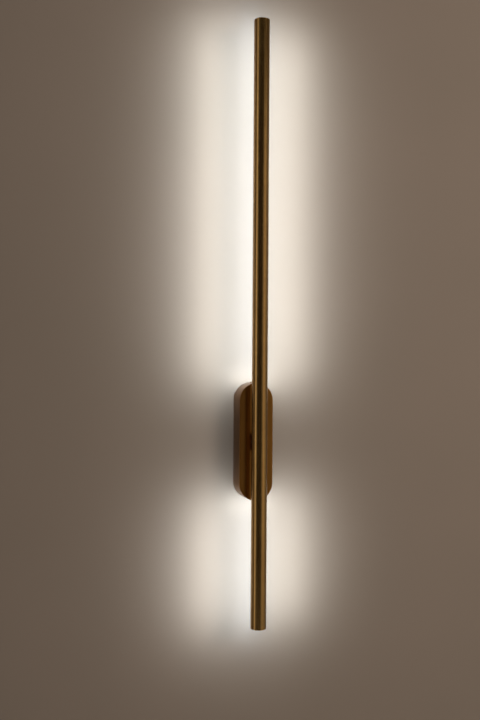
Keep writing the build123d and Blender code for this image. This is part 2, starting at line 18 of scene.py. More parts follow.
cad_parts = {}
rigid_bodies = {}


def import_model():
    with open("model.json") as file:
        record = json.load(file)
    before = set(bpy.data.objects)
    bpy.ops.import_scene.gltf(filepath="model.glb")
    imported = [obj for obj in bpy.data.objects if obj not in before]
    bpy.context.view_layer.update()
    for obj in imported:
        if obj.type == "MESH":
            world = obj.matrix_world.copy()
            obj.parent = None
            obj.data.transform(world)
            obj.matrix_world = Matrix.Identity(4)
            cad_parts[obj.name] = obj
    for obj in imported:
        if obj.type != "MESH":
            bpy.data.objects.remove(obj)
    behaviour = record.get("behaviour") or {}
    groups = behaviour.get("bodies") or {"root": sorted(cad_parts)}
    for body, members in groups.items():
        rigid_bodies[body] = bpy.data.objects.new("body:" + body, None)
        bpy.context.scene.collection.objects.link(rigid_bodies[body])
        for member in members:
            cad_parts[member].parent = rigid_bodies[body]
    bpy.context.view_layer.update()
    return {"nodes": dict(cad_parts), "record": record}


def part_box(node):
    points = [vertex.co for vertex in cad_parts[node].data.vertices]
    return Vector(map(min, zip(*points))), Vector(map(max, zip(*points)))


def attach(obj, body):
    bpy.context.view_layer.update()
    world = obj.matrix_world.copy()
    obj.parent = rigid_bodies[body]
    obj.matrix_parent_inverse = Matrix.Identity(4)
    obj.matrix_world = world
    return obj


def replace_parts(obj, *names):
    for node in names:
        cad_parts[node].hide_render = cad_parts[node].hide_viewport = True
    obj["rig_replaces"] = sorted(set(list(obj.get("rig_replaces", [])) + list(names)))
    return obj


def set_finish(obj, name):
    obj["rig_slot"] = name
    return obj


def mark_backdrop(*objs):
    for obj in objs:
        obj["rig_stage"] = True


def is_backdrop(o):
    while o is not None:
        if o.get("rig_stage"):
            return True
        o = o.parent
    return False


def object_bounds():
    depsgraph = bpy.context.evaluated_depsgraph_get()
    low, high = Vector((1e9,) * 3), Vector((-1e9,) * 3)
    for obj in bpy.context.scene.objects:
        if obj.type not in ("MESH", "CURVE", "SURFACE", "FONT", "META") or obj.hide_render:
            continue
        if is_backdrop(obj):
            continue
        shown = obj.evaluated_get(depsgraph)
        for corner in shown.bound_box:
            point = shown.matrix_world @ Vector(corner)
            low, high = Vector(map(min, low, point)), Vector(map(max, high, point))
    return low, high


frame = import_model()
MM = 0.001

# %% [markdown]
# ## The camera
#
# A camera is a place, a direction and a lens. The place and the lens decide how sides converge, so
# they come first: here they were solved from the tube's edges, its two ends and the canopy. The
# picture is level, so the tube doesn't narrow upwards, and it is rolled by a fraction of a degree.

# %% Camera
SENSOR = 36.0                            # mm, the long side, which stands upright here
LENS = 42.5                              # mm
CAMERA_PLACE = Vector((-0.4493, -1.3761, 0.136))
CAMERA_YAW = math.radians(17.4)          # to the right of straight at the wall
CAMERA_ROLL = math.radians(0.36)

camera_data = bpy.data.cameras.new("camera")
camera_data.sensor_width = SENSOR
camera_data.lens = LENS
camera = bpy.data.objects.new("camera", camera_data)
bpy.context.scene.collection.objects.link(camera)
bpy.context.scene.camera = camera
camera.location = CAMERA_PLACE
looking = Vector((math.sin(CAMERA_YAW), math.cos(CAMERA_YAW), 0))
camera.rotation_mode = "QUATERNION"
camera.rotation_quaternion = looking.to_track_quat("-Z", "Y") @ Quaternion((0, 0, 1), CAMERA_ROLL)
print("camera", round(CAMERA_PLACE.length, 2), "m from the swivel")

# %% [markdown]
# ## From arrays to a mesh
#
# Every new shell is a grid of points, worked out as one array, and its faces join each point to its
# neighbours. Such a shell could be drawn by hand, but then a size that changes means drawing it
# again. One function turns grids into a mesh, merges the points that fall together at a pole, turns
# the faces outwards, and keeps an edge crisp where two faces meet at a sharp angle.

# %% Grid and mesh helpers
CRISP_ANGLE = math.radians(32)
MERGE = 1e-6                             # points closer than this are one point


def grid_faces(rows, columns, wrap_rows, wrap_columns, first=0):
    """Quads of a grid: each (i, j) with (i, j + 1), (i + 1, j + 1) and (i + 1, j)."""
    i = np.arange(rows if wrap_rows else rows - 1)[:, None]
    j = np.arange(columns if wrap_columns else columns - 1)[None, :]
    next_i, next_j = (i + 1) % rows, (j + 1) % columns
    corners = ((i, j), (i, next_j), (next_i, next_j), (next_i, j))
    return np.stack([a * columns + b + first for a, b in corners], axis=-1).reshape(-1, 4)


def mesh_object(name, points, faces, open_ends=()):
    """Object of that name from an array of points and an array of faces.

    Each of open_ends is a test on an edge. The open edges that pass it get flat triangles between.
    """
    mesh = bpy.data.meshes.new(name)
    mesh.from_pydata(points.tolist(), [], faces.tolist())
    work = bmesh.new()
    work.from_mesh(mesh)
    bmesh.ops.remove_doubles(work, verts=work.verts, dist=MERGE)
    for test in open_ends:
        edges = [e for e in work.edges if e.is_boundary and test(e)]
        bmesh.ops.triangle_fill(work, use_beauty=True, edges=edges)
    bmesh.ops.recalc_face_normals(work, faces=work.faces)
    work.to_mesh(mesh)
    work.free()
    mesh.polygons.foreach_set("use_smooth", [True] * len(mesh.polygons))
    mesh.set_sharp_from_angle(angle=CRISP_ANGLE)
    made = bpy.data.objects.new(name, mesh)
    bpy.context.scene.collection.objects.link(made)
    size = [round(v / MM, 2) for v in made.dimensions]
    print(f"{name}: {len(mesh.polygons)} faces, size mm", size)
    return made


def skins(name, grids, open_ends=()):
    """One object from several grids, each (array rows x columns x 3, wrap_rows, wrap_columns)."""
    points, faces, first = [], [], 0
    for grid, wrap_rows, wrap_columns in grids:
        points.append(grid.reshape(-1, 3))
        faces.append(grid_faces(*grid.shape[:2], wrap_rows, wrap_columns, first))
        first += len(points[-1])
    return mesh_object(name, np.concatenate(points), np.concatenate(faces), open_ends)


def stands_for(piece, node):
    """The piece takes the node's place, its body and its finish slot."""
    record = frame["record"]
    body = next(b for b, members in record["behaviour"]["bodies"].items() if node in members)
    slot = next(p["material_slot"] for p in record["subparts"] if p["node"] == node)
    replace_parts(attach(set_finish(piece, slot), body), node)


# %% [markdown]
# ## Profiles
#
# A turned or extruded piece is drawn as its section first. Real edges are never knife sharp: a
# small radius catches a line of light, and that line is what makes a part look machined. A Bevel
# modifier could round a finished shape, but here edges of one piece have different radii. So a
# section is a list of corners, each with its own radius, and one function rounds them all.

# %% Section helpers
def rounded(corners, steps=6):
    """Closed outline from rows (a, b, radius).

    An arc of that radius touches both sides of its corner. The direction from the arc's centre goes
    from one touching point to the other at a steady angle.
    """
    corners = np.asarray(corners, float)
    outline = []
    for i, (a, b, radius) in enumerate(corners):
        here = np.array([a, b])
        if radius == 0:
            outline.append(here[None])
            continue
        back = corners[i - 1, :2] - here
        ahead = corners[(i + 1) % len(corners), :2] - here
        back /= np.linalg.norm(back)
        ahead /= np.linalg.norm(ahead)
        half = math.acos(np.clip(back @ ahead, -1, 1)) / 2
        centre = here + (back + ahead) / np.linalg.norm(back + ahead) * radius / math.sin(half)
        start = here + back * radius / math.tan(half) - centre
        end = here + ahead * radius / math.tan(half) - centre
        turn = math.pi - 2 * half
        t = np.linspace(0, 1, steps + 1)[:, None]
        way = start * np.sin((1 - t) * turn) + end * np.sin(t * turn)
        outline.append(centre + way / math.sin(turn))
    return np.concatenate(outline)


def arc(radius, start, end, count):
    """Points (radius sin a, radius cos a) for a steady run of angles in degrees."""
    angle = np.radians(np.linspace(start, end, count))
    return np.stack([radius * np.sin(angle), radius * np.cos(angle)], axis=-1)


def steady_turn(count):
    """Angles of one full turn in count equal steps, without the last, which is the first again."""
    return np.linspace(0, 2 * math.pi, count, endpoint=False)


def axis_rows(axis):
    """Three unit directions as rows: two at right angles to the axis, and the axis."""
    axis = Vector(axis).normalized()
    side = axis.orthogonal().normalized()
    return np.array([side, axis.cross(side), axis])


def turned(section, centre, axis, count=96):
    """Grid of a turned piece: the section's (r, h) is at (r cos a, r sin a, h) for each angle a."""
    angle = steady_turn(count)
    r, h = section[:, :1], section[:, 1:]
    local = np.stack(np.broadcast_arrays(r * np.cos(angle), r * np.sin(angle), h), axis=-1)
    return local @ axis_rows(axis) + np.array(centre)


# %% [markdown]
# ## The tube
#
# On the real light the tube is an aluminium extrusion: a round wall, a flat web that carries the
# LED boards, and a slot along the back for the diffuser. It could be a cylinder with cuts, but a
# section carried straight along the length makes it as the die does, with clean long faces. The
# section has two closed lines, the outside with the slot and the rear channel, and the channel
# before the web, and its ends are filled between them.

# %% Tube sizes from the measured model
tube_low, tube_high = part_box("tube_shell")
TUBE_R = (tube_high.x - tube_low.x) / 2
TUBE_Y = tube_low.y + TUBE_R
TUBE_WALL = 1.2 * MM
INNER_R = TUBE_R - TUBE_WALL
SLOT_HALF = 42.0                         # degrees from straight at the wall to each slot edge
WEB_FRONT = 0.5 * MM                     # the web's two faces, from the centre line to the wall
WEB_BACK = 2.0 * MM


def degrees_at(height, radius):
    """Angle from straight at the wall where a circle of that radius reaches that height."""
    return math.degrees(math.acos(height / radius))


def along_tube(outline, heights):
    """Grid of an outline: its point (x, towards the wall) stands at every height in turn."""
    x, y, z = outline[:, 0], TUBE_Y + outline[:, 1], np.asarray(heights)[:, None]
    return np.stack(np.broadcast_arrays(x, y, z), axis=-1)


def extrusion(name, outlines, z_from, z_to, stations):
    """Outlines carried from z_from to z_to, with both ends filled between the outlines."""
    heights = np.linspace(z_from, z_to, stations)
    grids = [(along_tube(outline, heights), False, True) for outline in outlines]
    ends = [lambda e, z=z: all(abs(v.co.z - z) < MERGE for v in e.verts) for z in (z_from, z_to)]
    return skins(name, grids, ends)


# %% Tube shell
web_back_edge = degrees_at(WEB_BACK, INNER_R)
web_front_edge = degrees_at(WEB_FRONT, INNER_R)
outside = np.concatenate([
    arc(TUBE_R, SLOT_HALF, 360 - SLOT_HALF, count=200),
    arc(INNER_R, 360 - SLOT_HALF, 360 - web_back_edge, count=16),
    arc(INNER_R, web_back_edge, SLOT_HALF, count=16),
])
front_channel = arc(INNER_R, web_front_edge, 360 - web_front_edge, count=72)
tube = extrusion(
    "tube_shell_skin", [outside, front_channel], tube_low.z, tube_high.z, stations=25)
stands_for(tube, "tube_shell")

# %% [markdown]
# ## The diffusers
#
# Two strips of opal plastic close the slot, one above and one below the swivel. Each is an arc that
# carries the tube's roundness on, with a barbed leg at each edge that snaps in under the slot. The
# strips are extruded too, so they come from a section in the same way as the tube.

# %% Diffusers
DIFFUSER_T = 1.4 * MM
DIFFUSER_HALF = SLOT_HALF - 0.5          # degrees, half a degree of play on each side
LEG_OUT, LEG_IN = 7.6 * MM, 6.7 * MM     # the leg's two sides, from the middle of the strip
LEG = [                                  # rows (sideways, towards the wall), with the barb second
    (LEG_OUT, 8.3 * MM), (8.4 * MM, 7.8 * MM), (LEG_OUT, 6.4 * MM), (LEG_IN, 6.2 * MM),
]


def diffuser_outline():
    """Outer arc, then back along the inner arc with a leg standing in from it near each end."""
    inner_r = TUBE_R - DIFFUSER_T
    out_angle = math.degrees(math.asin(LEG_OUT / inner_r))
    in_angle = math.degrees(math.asin(LEG_IN / inner_r))
    leg = np.array(LEG)
    return np.concatenate([
        arc(TUBE_R, -DIFFUSER_HALF, DIFFUSER_HALF, count=60),
        arc(inner_r, DIFFUSER_HALF, out_angle, count=2),
        leg,
        arc(inner_r, in_angle, -in_angle, count=40),
        leg[::-1] * [-1, 1],
        arc(inner_r, -out_angle, -DIFFUSER_HALF, count=2),
    ])


for node in ("diffuser_upper", "diffuser_lower"):
    low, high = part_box(node)
    strip = extrusion(node + "_strip", [diffuser_outline()], low.z, high.z, stations=13)
    stands_for(strip, node)

# %% [markdown]
# ## The end caps
#
# A turned disc closes each end. Its rim is eased, and where it meets the tube it has a small round
# edge, so a fine groove runs round just before the tube's end and catches the glow. The half-moon
# under the disc is the spigot that pushes into the front channel. The two are separate closed
# shells that reach into each other a little, which is simpler than joining round and half-moon.

# %% End caps
CAP_RIM = 0.45 * MM
SEAM_RIM = 0.35 * MM
SPIGOT_GAP = 0.05 * MM
BITE = 0.2 * MM                          # how far the spigot's shell reaches into the disc's


def cap_skin(name, end_z, seam_z, spigot_z):
    """Turned disc between end_z and seam_z, and the spigot from the seam to spigot_z."""
    thick = abs(end_z - seam_z)
    disc = rounded([(0, 0, 0), (TUBE_R, 0, CAP_RIM), (TUBE_R, thick, SEAM_RIM), (0, thick, 0)])
    inward = (0, 0, 1) if seam_z > end_z else (0, 0, -1)
    moon_r = INNER_R - SPIGOT_GAP
    flat = degrees_at(WEB_FRONT - SPIGOT_GAP, moon_r)
    bite = -math.copysign(BITE, spigot_z - seam_z)
    spigot = along_tube(arc(moon_r, flat, 360 - flat, count=60), sorted((seam_z + bite, spigot_z)))
    middle = np.broadcast_to(spigot.mean(axis=1, keepdims=True), spigot.shape)
    closed = np.concatenate([middle[:1], spigot, middle[1:]])
    return skins(name, [
        (turned(disc, (0, TUBE_Y, end_z), inward, count=128), False, True),
        (closed, False, True),
    ])


cap_low, cap_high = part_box("end_cap_top")
bottom_low, bottom_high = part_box("end_cap_bottom")
top_cap = cap_skin("end_cap_top_disc", cap_high.z, tube_high.z, cap_low.z)
bottom_cap = cap_skin("end_cap_bottom_disc", bottom_low.z, tube_low.z, bottom_high.z)
stands_for(top_cap, "end_cap_top")
stands_for(bottom_cap, "end_cap_bottom")

# %% [markdown]
# ## The wall canopy
#
# The canopy is a shell with fully round ends, pressed from sheet and open at the wall. A plain
# block with a Solidify modifier could give it a wall, but not a thicker front or a hole. Here its
# outline is a straight line swollen by a radius, so every point of it is a place on the middle line
# plus a step outwards. The section runs up the outside, over the rounded front edge, across the
# front to the stem's hole, and back on the inside, which makes one closed skin.

# %% Canopy cover
canopy_low, canopy_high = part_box("canopy_cover")
CANOPY_HALF = (canopy_high.x - canopy_low.x) / 2
CANOPY_TOP = canopy_high.z
CANOPY_DEPTH = -canopy_low.y
SHEET = 1.2 * MM
FRONT_SHEET = 1.5 * MM
FRONT_EDGE_R = 1.1 * MM
FRONT_INSET = 3 * SHEET                  # where the edge's rows end and the front's rows begin
RIM_R = 0.3 * MM
STEM_HOLE_R = 7.0 * MM


def swollen_line(end_count, side_count):
    """Points of an upright middle line and directions out of it, once round the line.

    A point plus a radius times its direction is a place on an outline with round ends.
    """
    straight = CANOPY_TOP - CANOPY_HALF
    up = np.linspace(-straight, straight, side_count, endpoint=False)
    turn = np.linspace(0, math.pi, end_count, endpoint=False)
    side, side_out = np.stack([0 * up, up], -1), np.tile([1.0, 0.0], (side_count, 1))
    top = np.tile([0.0, straight], (end_count, 1))
    top_out = np.stack([np.cos(turn), np.sin(turn)], -1)
    middle = np.concatenate([side, top, -side, -top])
    return middle, np.concatenate([side_out, top_out, -side_out, -top_out])


def canopy_grid():
    """Rows of the shell: each row is the outline at one inset and one distance from the wall.

    The outline's points are the middle line's, plus half the width less the inset outwards.
    """
    middle, outward = swollen_line(end_count=72, side_count=40)
    inner_depth = CANOPY_DEPTH - FRONT_SHEET

    def ring(inset, stand_off):
        flat = middle + outward * (CANOPY_HALF - inset)
        return np.stack([flat[:, 0], np.full(len(flat), -stand_off), flat[:, 1]], -1)

    def to_hole(inset, stand_off, share):
        """The ring moved that share of its straight way to the hole's edge."""
        edge = ring(inset, stand_off)
        flat = edge[:, [0, 2]]
        away = flat / np.linalg.norm(flat, axis=1, keepdims=True) * STEM_HOLE_R
        hole = np.stack([away[:, 0], edge[:, 1], away[:, 1]], -1)
        return edge + (hole - edge) * share

    section = rounded([
        (SHEET / 2, 0, 0),
        (0, 0, RIM_R),
        (0, CANOPY_DEPTH, FRONT_EDGE_R),
        (FRONT_INSET, CANOPY_DEPTH, 0),
    ], steps=8)
    shares = np.linspace(0, 1, 14)
    rows = [ring(inset, stand_off) for inset, stand_off in section]
    rows += [to_hole(FRONT_INSET, CANOPY_DEPTH, share) for share in shares[1:]]
    rows += [to_hole(SHEET, inner_depth, share) for share in shares[::-1]]
    rows += [ring(SHEET, stand_off) for stand_off in np.linspace(inner_depth, 0, 6)[1:]]
    return np.stack(rows)


cover = skins("canopy_cover_shell", [(canopy_grid(), True, True)])
stands_for(cover, "canopy_cover")

# %% [markdown]
# ## Turned pieces round the swivel
#
# Between the canopy and the tube stand a nylon bush with a thin flange and a brass collar, both
# turned on a lathe. The bush is a section spun round the stem's line. The collar's far end is
# hollowed so that it sits on the tube's round back, which a spun section can't give: the height of
# its edge is where the tube's surface is at that place, a circle's height from the tube's centre.

# %% Bush
bush_low, bush_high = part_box("swivel_bush")
FLANGE_R = (bush_high.x - bush_low.x) / 2
SLEEVE_R = 6.95 * MM
BUSH_BORE_R = 5.05 * MM
TO_WALL = (0, 1, 0)

bush_section = rounded([
    (BUSH_BORE_R, bush_low.y, 0.1 * MM),
    (FLANGE_R, bush_low.y, 0.3 * MM),
    (FLANGE_R, -CANOPY_DEPTH, 0.1 * MM),
    (SLEEVE_R, -CANOPY_DEPTH, 0),
    (SLEEVE_R, bush_high.y, 0.3 * MM),
    (BUSH_BORE_R, bush_high.y, 0.1 * MM),
])
bush = skins("swivel_bush_turned", [(turned(bush_section, (0, 0, 0), TO_WALL), True, True)])
stands_for(bush, "swivel_bush")

# %% Collar
collar_low, collar_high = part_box("spacer_collar")
STEM_R = 5.0 * MM
COLLAR_R = (collar_high.x - collar_low.x) / 2
COLLAR_EASE = 0.4 * MM                   # radius of the edge at the canopy
SADDLE_GAP = 0.02 * MM                   # play to the tube, and how far the hollow rim is drawn in


def collar_grid(count=128):
    """Closed skin: base ring, eased outer edge, outside up to the saddle, and down the bore."""
    angle = steady_turn(count)
    base = collar_high.y
    between_r = (STEM_R + COLLAR_R) / 2

    def ring(radius, y):
        return np.stack(np.broadcast_arrays(radius * np.cos(angle), y, radius * np.sin(angle)), -1)

    def saddle(radius):
        across = radius * np.cos(angle)
        return ring(radius, TUBE_Y + np.sqrt((TUBE_R + SADDLE_GAP) ** 2 - across ** 2))

    ease = [(COLLAR_EASE * (1 - math.sin(t)), COLLAR_EASE * (1 - math.cos(t)))
            for t in np.linspace(0, math.pi / 2, 6)]
    rows = [ring(STEM_R, base), ring(between_r, base)]
    rows += [ring(COLLAR_R - inset, base - rise) for inset, rise in ease]
    rows += [saddle(COLLAR_R - SADDLE_GAP), saddle(between_r), saddle(STEM_R)]
    return np.stack(rows)


collar = skins("spacer_collar_turned", [(collar_grid(), True, True)])
stands_for(collar, "spacer_collar")

# %% [markdown]
# ## The cable bush
#
# A rubber grommet snaps into the plate's cable hole from inside the canopy, so that the supply
# cable doesn't rub on the steel. It is moulded, and its edges are soft and full. It is round all
# over, so a turned section with large radii gives the whole of it.

# %% Cable grommet
grommet_low, grommet_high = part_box("cable_grommet")
GROMMET_Z = (grommet_low.z + grommet_high.z) / 2
GROMMET_FLANGE_R = (grommet_high.z - grommet_low.z) / 2
GROMMET_NECK_R = 6.95 * MM
GROMMET_BORE_R = 4.5 * MM
PLATE_T = 1.5 * MM
grommet_section = rounded([
    (GROMMET_BORE_R, grommet_low.y, 0.5 * MM),
    (GROMMET_FLANGE_R, grommet_low.y, 0.8 * MM),
    (GROMMET_FLANGE_R, -PLATE_T, 0.2 * MM),
    (GROMMET_NECK_R, -PLATE_T, 0),
    (GROMMET_NECK_R, grommet_high.y, 0.4 * MM),
    (GROMMET_BORE_R, grommet_high.y, 0.4 * MM),
])
grommet_grid = turned(grommet_section, (0, 0, GROMMET_Z), TO_WALL)
stands_for(skins("cable_grommet_moulded", [(grommet_grid, True, True)]), "cable_grommet")

# %% [markdown]
# ## Screws with a hexagon socket
#
# Two button-head screws hold the canopy at its ends and two sunk ones hold the pivot block. A
# socket could be cut by a boolean, which leaves ragged faces on so small a part. Here a head is a
# stack of rings, and a ring's radius may change with the angle: round rings make the dome, and a
# hexagon's radius, its flat distance over the cosine of the angle from the flat, makes the socket.

# %% Socket screws
SHANK_R = 1.5 * MM
SOCKET_FLAT = 1.0 * MM                   # from the middle to a flat side, for a 2 mm key
LAND_R = 1.35 * SOCKET_FLAT              # the flat ring round the socket
TIP_R, TIP_EASE = 0.8 * SHANK_R, 0.3 * SHANK_R
RIM_SHARE = 0.35                         # of the head's height, the part below its dome


def screw_grid(centre, axis, head_r, head_h, shank_l, socket_depth, count=48):
    """Skin of one screw from tip to socket: rings (r cos a, r sin a, h) round its axis."""
    angle = steady_turn(count)
    hexagon = SOCKET_FLAT / np.cos(np.mod(angle, math.pi / 3) - math.pi / 6)
    floor_h = head_h - socket_depth
    rings = [(0, -shank_l), (TIP_R, -shank_l), (SHANK_R, TIP_EASE - shank_l), (SHANK_R, 0)]
    rings += [(head_r, 0)]
    rings += [
        (LAND_R + (head_r - LAND_R) * math.cos(t),
         head_h * (RIM_SHARE + (1 - RIM_SHARE) * math.sin(t)))
        for t in np.linspace(0, math.pi / 2, 7)
    ]
    rings += [(hexagon, head_h), (hexagon, floor_h), (0, floor_h)]
    local = np.stack([
        np.stack(np.broadcast_arrays(r * np.cos(angle), r * np.sin(angle), h), -1)
        for r, h in rings
    ])
    return local @ axis_rows(axis) + np.array(centre)


head_low, head_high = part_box("canopy_screws")
HEAD_R = (head_high.x - head_low.x) / 2
HEAD_Y = (head_high.y + head_low.y) / 2
HEAD_H = head_high.z - CANOPY_TOP
canopy_screws = skins("canopy_screws_socket", [
    (screw_grid((0, HEAD_Y, end * CANOPY_TOP), (0, 0, end), HEAD_R, HEAD_H,
                shank_l=6 * MM, socket_depth=0.9 * MM), False, True)
    for end in (1, -1)
])
stands_for(canopy_screws, "canopy_screws")

pivot_low, pivot_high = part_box("pivot_screws")
PIVOT_HEAD_R = (pivot_high.x - pivot_low.x) / 2
PIVOT_HEAD_H = 1.6 * MM
PIVOT_Y = pivot_high.y - PIVOT_HEAD_H
PIVOT_Z = pivot_high.z - PIVOT_HEAD_R
pivot_screws = skins("pivot_screws_socket", [
    (screw_grid((0, PIVOT_Y, end * PIVOT_Z), TO_WALL, PIVOT_HEAD_R, PIVOT_HEAD_H,
                shank_l=PIVOT_Y - pivot_low.y, socket_depth=1.0 * MM), False, True)
    for end in (1, -1)
])
stands_for(pivot_screws, "pivot_screws")

# %% [markdown]
# ## Colours and nodes
#
# A material is a small tree of nodes: patterns at one end, a shader at the other. Nodes can be
# joined by hand in the editor, but a script can say the same in a few lines. One function adds any
# node, with its settings and its inputs, where an input is a number, a colour or the output of
# another node. Colours are picked as they look on a screen, as hexadecimal values, and the renderer
# wants linear light, so they are converted on their way in.

# %% Colour and node helpers
MIX_A, MIX_B, MIX_COLOUR = 6, 7, 2       # places of the Mix node's colour inputs and output
MIDDLE = {"From Min": 0.3, "From Max": 0.7}         # most of a noise lies in this range
SOFT = 0.55                              # how much of a noise's finer detail shows


def linear(hex_colour):
    """Linear RGBA of an sRGB hex colour: ((c + 0.055) / 1.055) to the 2.4, or c / 12.92 if dark."""
    srgb = [int(hex_colour[i:i + 2], 16) / 255 for i in (1, 3, 5)]
    return (*[c / 12.92 if c <= 0.04045 else ((c + 0.055) / 1.055) ** 2.4 for c in srgb], 1.0)


def add(tree, kind, inputs, output=0, **settings):
    """Adds a node, sets its properties and its inputs, and gives the output that is asked for."""
    made = tree.nodes.new("ShaderNode" + kind)
    for key, value in settings.items():
        setattr(made, key, value)
    for key, value in inputs.items():
        if isinstance(value, bpy.types.NodeSocket):
            tree.links.new(value, made.inputs[key])
        else:
            made.inputs[key].default_value = linear(value) if isinstance(value, str) else value
    return made.outputs[output] if made.outputs else made


def new_material(name):
    """Empty material, its node tree and its object coordinates."""
    material = bpy.data.materials.new(name)
    material.use_nodes = True
    tree = material.node_tree
    tree.nodes.clear()
    print("material:", name)
    return material, tree, add(tree, "TexCoord", {}, output="Object")


def two_tone(tree, pattern, dark, light):
    """Colour that goes from dark to light as the pattern goes through its middle range."""
    share = add(tree, "MapRange", {"Value": pattern, **MIDDLE})
    return add(tree, "Mix", {"Factor": share, MIX_A: dark, MIX_B: light}, output=MIX_COLOUR,
               data_type="RGBA")


def finished(material, shader_inputs):
    """The material with one shader on its surface, which gets these inputs."""
    tree = material.node_tree
    add(tree, "OutputMaterial", {"Surface": add(tree, "BsdfPrincipled", shader_inputs)})
    return material


def seen_directly(tree):
    """1 for a ray from the camera, a mirror or a clear surface, 0 for one that carries light."""
    seen = add(tree, "LightPath", {}, output="Is Camera Ray")
    rays = seen.node.outputs
    for kind in ("Is Glossy Ray", "Is Transmission Ray"):
        seen = add(tree, "Math", {0: seen, 1: rays[kind]}, operation="MAXIMUM")
    return seen


# %% [markdown]
# ## Brushed, brass-toned metal
#
# The tube and the canopy have an aged brass tone over brushed metal, under a clear satin lacquer.
# Brushing leaves scratches that all run one way, here upwards. They could be cut into the mesh, at
# great cost, and a noise drawn out along z does the same. A scratch is a few hundredths of a
# millimetre wide on the real thing, which no picture this size can show, so it is drawn about ten
# times wider. It moves three things together: the colour a little, the roughness a little more, and
# the height by a few microns. A cloudy noise is the uneven toning that such finishes have.

# %% Brushed metal
SCRATCH_DEPTH = 0.004 * MM
WIDER = 6                                # a second set of scratches is this much wider
TONE_CLOUD, TONE_CLOUD_LENGTH = 22 * MM, 2.5
TONE_SHARE = 0.45                        # the most that the toning mixes in


def brushed_metal(name, light, dark, toned, rough, scratch=0.35 * MM, length=90.0):
    """Metal brushed upwards: scratches length times as long as wide, and clouds of toning."""
    material, tree, coords = new_material(name)
    scratches, wide, clouds = (
        add(tree, "TexNoise", {
            "Vector": add(tree, "Mapping", {
                "Vector": coords, "Scale": [1 / size, 1 / size, 1 / (size * stretch)],
            }),
            "Scale": 1.0, "Detail": detail, "Roughness": SOFT,
        })
        for size, stretch, detail in (
            (scratch, length, 4.0),
            (scratch * WIDER, length, 2.0),
            (TONE_CLOUD, TONE_CLOUD_LENGTH, 3.0),
        )
    )
    both = add(tree, "Math", {0: scratches, 1: wide}, operation="ADD")
    half = add(tree, "Math", {0: both, 1: 0.5}, operation="MULTIPLY")
    fine = two_tone(tree, half, dark, light)
    toning = add(tree, "MapRange", {"Value": clouds, **MIDDLE, "To Max": TONE_SHARE})
    return finished(material, {
        "Base Color": add(tree, "Mix", {"Factor": toning, MIX_A: fine, MIX_B: toned},
                          output=MIX_COLOUR, data_type="RGBA"),
        "Roughness": add(tree, "MapRange", {
            "Value": half, **MIDDLE, "To Min": rough[0], "To Max": rough[1]}),
        "Metallic": 1.0,
        "Normal": add(tree, "Bump", {"Height": scratches, "Distance": SCRATCH_DEPTH}),
    })


def tube_brass():
    """Brushed aluminium in an aged brass tone: satin, with long upright bands of reflection."""
    return brushed_metal("brushed_aged_brass_tube", "#967645", "#82643a", "#785a36", (0.2, 0.32))


def canopy_brass():
    """The same tone on brushed steel sheet, a little darker and softer than the tube."""
    return brushed_metal("brushed_aged_brass_sheet", "#8c622e", "#784f20", "#6b4520", (0.26, 0.38))


def plated_screw():
    """Brass-plated steel: smoother than the sheet, so the small heads glint."""
    return brushed_metal("brass_plated_steel", "#9d7a44", "#8a6834", "#7d5c30", (0.16, 0.26),
                         scratch=0.2 * MM, length=3.0)


def bare_brass():
    """Turned brass, left bare and a little dulled: warm yellow with a fine even grain."""
    return brushed_metal("turned_bare_brass", "#c9a864", "#b48f4c", "#a3803f", (0.22, 0.34),
                         scratch=0.15 * MM, length=1.0)


# %% [markdown]
# ## Plain metals
#
# Hidden metal parts are zinc-plated, tinned or sprung steel. One flat grey would make them look
# alike and dead. Zinc plating is bluish and cloudy, as the crystals of the bath leave it, and
# spring steel is dark from its heat treatment, so the tone follows a cloudy noise of a few
# millimetres, and where it is lighter it is smoother too.

# %% Plain metals
PLATE_GRAIN, PLATE_GRAIN_DEPTH = 0.3 * MM, 0.003 * MM


def clouded_metal(name, light, dark, rough, cloud):
    """Metal with clouds of that size in its tone and its roughness, and a fine grain."""
    material, tree, coords = new_material(name)
    clouds, grain = (
        add(tree, "TexNoise", {
            "Vector": coords, "Scale": 1 / size, "Detail": detail, "Roughness": SOFT})
        for size, detail in ((cloud, 5.0), (PLATE_GRAIN, 2.0))
    )
    return finished(material, {
        "Base Color": two_tone(tree, clouds, dark, light),
        "Roughness": add(tree, "MapRange", {
            "Value": clouds, **MIDDLE, "To Min": rough[1], "To Max": rough[0]}),
        "Metallic": 1.0,
        "Normal": add(tree, "Bump", {"Height": grain, "Distance": PLATE_GRAIN_DEPTH}),
    })


def zinc_plate():
    """Zinc-plated steel: cool grey, cloudy, half bright."""
    return clouded_metal("zinc_plated_steel", "#bec3c9", "#a8aeb6", (0.28, 0.42), 7 * MM)


def spring_steel():
    """Hardened spring steel: dark, smooth, with brown-grey clouds."""
    return clouded_metal("hardened_spring_steel", "#7a7c80", "#5a5450", (0.25, 0.35), 3 * MM)


def tinned_copper():
    """Tinned copper: soft silver with a warm cast where the tin is thin."""
    return clouded_metal("tinned_copper", "#d2cfc6", "#b9a993", (0.25, 0.4), 2 * MM)


# %% [markdown]
# ## Moulded plastics, rubber and foam
#
# What makes these read is the sheen and the grain that the mould leaves. The real grain is finer
# than a tenth of a millimetre. It is drawn at a quarter of a millimetre to about one, as a bump and
# a change of roughness, so that it shows. Their index of refraction is near 1.5, the shader's own.

# %% Moulded materials
DRIFT = 12 * MM                          # size of the slow change of colour in a moulding


